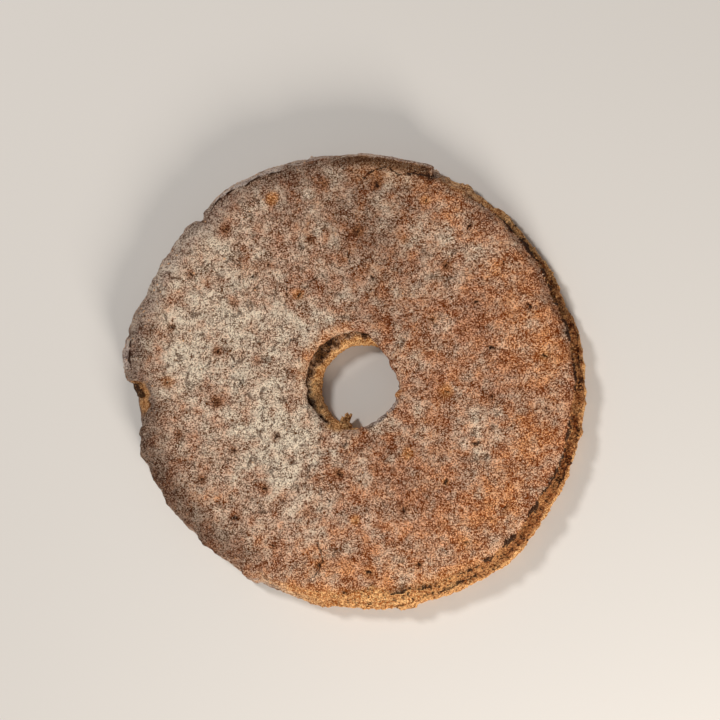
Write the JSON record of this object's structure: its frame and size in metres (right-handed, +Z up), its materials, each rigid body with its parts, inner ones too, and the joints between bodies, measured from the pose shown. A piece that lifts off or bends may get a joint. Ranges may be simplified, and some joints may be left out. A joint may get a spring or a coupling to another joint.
{
  "type": "rye ring bread",
  "caption": "Flat round rye loaf with a hole through its middle, a floury docked top face, a split side and a flat underside to rest on.",
  "frame": {"origin": "bottom centre of the loaf's bounding box, on the surface that it lies on", "axes": "+Z up out of the docked face, +Y towards the raised flap of crust, +X towards the widely split side"},
  "size_m": [0.267, 0.2536, 0.0232],
  "materials": {
    "crust": null
  },
  "bodies": {
    "root": {"bread": "crust"}
  },
  "joints": []
}
